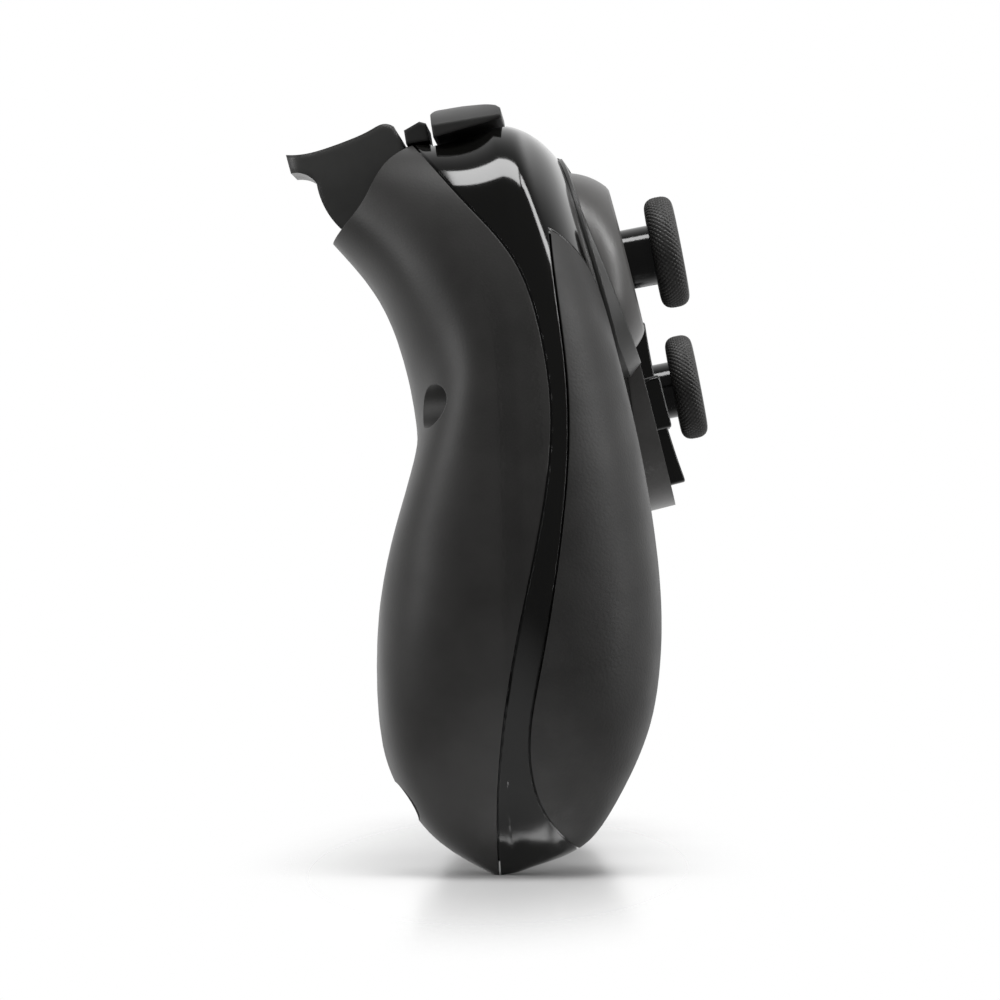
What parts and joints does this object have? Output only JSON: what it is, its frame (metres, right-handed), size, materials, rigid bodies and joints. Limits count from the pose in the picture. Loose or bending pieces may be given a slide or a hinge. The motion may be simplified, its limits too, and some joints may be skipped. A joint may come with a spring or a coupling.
{
  "type": "game controller",
  "caption": "Handheld game controller with two thumb sticks, a direction pad, round face buttons, bumpers, hooked triggers and flared grips.",
  "frame": {"origin": "Centre of the bounding box in plan, at the plane the controller lies on: the tips of the triggers and the backs of the two grips touch z = 0.", "axes": "+X to the right hand of the person who holds it, +Y from the grips towards the shoulders, +Z out of the face with the sticks"},
  "size_m": [0.155, 0.1115, 0.0555],
  "materials": {
    "gloss_shell": "polished",
    "soft_cover": "soft touch coating",
    "grip_panel": "fine satin",
    "collar": "satin",
    "pod": "fine satin",
    "gloss_key": "polished",
    "lens": "smoked clear",
    "cap_rubber": "matt",
    "trigger": "satin",
    "board": "varnished glass fibre",
    "cell": "shrink sleeve",
    "inner_plastic": "as moulded",
    "membrane": "silicone",
    "steel": "satin",
    "weight": "sintered"
  },
  "bodies": {
    "housing": {"battery": "cell", "battery_tray": "inner_plastic", "bumper_pins": "steel", "button_membrane": "membrane", "button_plate": "pod", "case_screws": "steel", "front_shell": "gloss_shell", "left_bumper_switch": "inner_plastic", "left_click_switch": "inner_plastic", "left_grip_panel": "grip_panel", "left_motor": "steel", "left_pod_collar": "collar", "left_shoulder_bar": "gloss_shell", "left_stick_case": "inner_plastic", "left_stick_pod": "pod", "left_trigger_spring": "steel", "main_board": "board", "menu_membrane": "membrane", "pad_base": "pod", "pad_membrane": "membrane", "rear_cover": "soft_cover", "right_bumper_switch": "inner_plastic", "right_click_switch": "inner_plastic", "right_grip_panel": "grip_panel", "right_motor": "steel", "right_pod_collar": "collar", "right_shoulder_bar": "gloss_shell", "right_stick_case": "inner_plastic", "right_stick_pod": "pod", "right_trigger_spring": "steel", "status_lens": "lens", "trigger_pins": "steel", "usb_port": "steel"},
    "left_stick_yoke": {"left_tilt_yoke": "inner_plastic"},
    "left_stick_block": {"left_pivot_block": "inner_plastic"},
    "left_stick": {"left_stick_shaft": "gloss_key", "left_stick_cap": "cap_rubber"},
    "right_stick_yoke": {"right_tilt_yoke": "inner_plastic"},
    "right_stick_block": {"right_pivot_block": "inner_plastic"},
    "right_stick": {"right_stick_shaft": "gloss_key", "right_stick_cap": "cap_rubber"},
    "pad_gimbal": {"pad_rocker": "inner_plastic"},
    "direction_pad": {"pad_cross": "gloss_key"},
    "top_face_button": {"top_button": "gloss_key"},
    "right_face_button": {"right_button": "gloss_key"},
    "bottom_face_button": {"bottom_button": "gloss_key"},
    "left_face_button": {"left_button": "gloss_key"},
    "left_menu": {"left_menu_key": "gloss_key"},
    "right_menu": {"right_menu_key": "gloss_key"},
    "home": {"home_key": "gloss_key"},
    "left_mode": {"left_mode_key": "gloss_key"},
    "right_mode": {"right_mode_key": "gloss_key"},
    "left_bumper_lever": {"left_bumper": "gloss_shell"},
    "left_trigger_lever": {"left_trigger": "trigger"},
    "left_rumble_weight": {"left_motor_weight": "weight"},
    "right_bumper_lever": {"right_bumper": "gloss_shell"},
    "right_trigger_lever": {"right_trigger": "trigger"},
    "right_rumble_weight": {"right_motor_weight": "weight"}
  },
  "joints": [
    {"name": "left_stick_forward", "type": "hinge", "parent": "housing", "child": "left_stick_yoke", "pos_m": [-0.0395, 0.02957, 0.03508], "axis": [1, 0, 0], "range_deg": [-13, 13], "stiffness_Nm_per_rad": 0.05},
    {"name": "left_stick_sideways", "type": "hinge", "parent": "left_stick_yoke", "child": "left_stick_block", "pos_m": [-0.0395, 0.02957, 0.03508], "axis": [0, 0.9996, -0.0279], "range_deg": [-13, 13], "stiffness_Nm_per_rad": 0.05},
    {"name": "left_stick_click", "type": "slide", "parent": "left_stick_block", "child": "left_stick", "axis": [0, 0.0279, 0.9996], "range_m": [-0.0005, 0], "stiffness_N_per_m": 3000, "springref_m": 0.0006},
    {"name": "right_stick_forward", "type": "hinge", "parent": "housing", "child": "right_stick_yoke", "pos_m": [0.018, 0.01048, 0.03561], "axis": [1, 0, 0], "range_deg": [-13, 13], "stiffness_Nm_per_rad": 0.05},
    {"name": "right_stick_sideways", "type": "hinge", "parent": "right_stick_yoke", "child": "right_stick_block", "pos_m": [0.018, 0.01048, 0.03561], "axis": [0, 0.9996, -0.0279], "range_deg": [-13, 13], "stiffness_Nm_per_rad": 0.05},
    {"name": "right_stick_click", "type": "slide", "parent": "right_stick_block", "child": "right_stick", "axis": [0, 0.0279, 0.9996], "range_m": [-0.0005, 0], "stiffness_N_per_m": 3000, "springref_m": 0.0006},
    {"name": "pad_forward", "type": "hinge", "parent": "housing", "child": "pad_gimbal", "pos_m": [-0.02, 0.00786, 0.04162], "axis": [1, 0, 0], "range_deg": [-3.5, 3.5], "stiffness_Nm_per_rad": 0.25},
    {"name": "pad_sideways", "type": "hinge", "parent": "pad_gimbal", "child": "direction_pad", "pos_m": [-0.02, 0.00786, 0.04162], "axis": [0, 0.9962, -0.0872], "range_deg": [-3.5, 3.5], "stiffness_Nm_per_rad": 0.25, "deforming": ["pad_membrane"]},
    {"name": "top_button_press", "type": "slide", "parent": "housing", "child": "top_face_button", "axis": [0, 0.0872, 0.9962], "range_m": [-0.0013, 0], "stiffness_N_per_m": 700, "springref_m": 0.001, "deforming": ["button_membrane"]},
    {"name": "right_button_press", "type": "slide", "parent": "housing", "child": "right_face_button", "axis": [0, 0.0872, 0.9962], "range_m": [-0.0013, 0], "stiffness_N_per_m": 700, "springref_m": 0.001, "deforming": ["button_membrane"]},
    {"name": "bottom_button_press", "type": "slide", "parent": "housing", "child": "bottom_face_button", "axis": [0, 0.0872, 0.9962], "range_m": [-0.0013, 0], "stiffness_N_per_m": 700, "springref_m": 0.001, "deforming": ["button_membrane"]},
    {"name": "left_button_press", "type": "slide", "parent": "housing", "child": "left_face_button", "axis": [0, 0.0872, 0.9962], "range_m": [-0.0013, 0], "stiffness_N_per_m": 700, "springref_m": 0.001, "deforming": ["button_membrane"]},
    {"name": "left_menu_press", "type": "slide", "parent": "housing", "child": "left_menu", "axis": [0, 0.1141, 0.9935], "range_m": [-0.0008, 0], "stiffness_N_per_m": 1000, "springref_m": 0.0008, "deforming": ["menu_membrane"]},
    {"name": "right_menu_press", "type": "slide", "parent": "housing", "child": "right_menu", "axis": [0, 0.1141, 0.9935], "range_m": [-0.0008, 0], "stiffness_N_per_m": 1000, "springref_m": 0.0008, "deforming": ["menu_membrane"]},
    {"name": "home_press", "type": "slide", "parent": "housing", "child": "home", "axis": [0, 0.184, 0.9829], "range_m": [-0.0008, 0], "stiffness_N_per_m": 1000, "springref_m": 0.0008, "deforming": ["menu_membrane"]},
    {"name": "left_mode_press", "type": "slide", "parent": "housing", "child": "left_mode", "axis": [0, 0.536, 0.8442], "range_m": [-0.0008, 0], "stiffness_N_per_m": 1000, "springref_m": 0.0008, "deforming": ["menu_membrane"]},
    {"name": "right_mode_press", "type": "slide", "parent": "housing", "child": "right_mode", "axis": [0, 0.536, 0.8442], "range_m": [-0.0008, 0], "stiffness_N_per_m": 1000, "springref_m": 0.0008, "deforming": ["menu_membrane"]},
    {"name": "left_bumper_press", "type": "hinge", "parent": "housing", "child": "left_bumper_lever", "pos_m": [-0.0277, 0.0481, 0.027], "axis": [0, 0, -1], "range_deg": [-1.5, 0], "stiffness_Nm_per_rad": 1.4, "springref_deg": 1.72},
    {"name": "left_trigger_pull", "type": "hinge", "parent": "housing", "child": "left_trigger_lever", "pos_m": [-0.0475, 0.0475, 0.0155], "axis": [1, 0, 0], "range_deg": [-18, 0], "stiffness_Nm_per_rad": 0.03, "springref_deg": 14.32, "deforming": ["left_trigger_spring"]},
    {"name": "left_motor_spin", "type": "hinge", "parent": "housing", "child": "left_rumble_weight", "pos_m": [-0.0585, -0.03, 0.021], "axis": [0, 1, 0], "continuous": true},
    {"name": "right_bumper_press", "type": "hinge", "parent": "housing", "child": "right_bumper_lever", "pos_m": [0.0277, 0.0481, 0.027], "axis": [0, 0, 1], "range_deg": [-1.5, 0], "stiffness_Nm_per_rad": 1.4, "springref_deg": 1.72},
    {"name": "right_trigger_pull", "type": "hinge", "parent": "housing", "child": "right_trigger_lever", "pos_m": [0.0475, 0.0475, 0.0155], "axis": [1, 0, 0], "range_deg": [-18, 0], "stiffness_Nm_per_rad": 0.03, "springref_deg": 14.32, "deforming": ["right_trigger_spring"]},
    {"name": "right_motor_spin", "type": "hinge", "parent": "housing", "child": "right_rumble_weight", "pos_m": [0.0585, -0.03, 0.021], "axis": [0, 1, 0], "continuous": true}
  ]
}
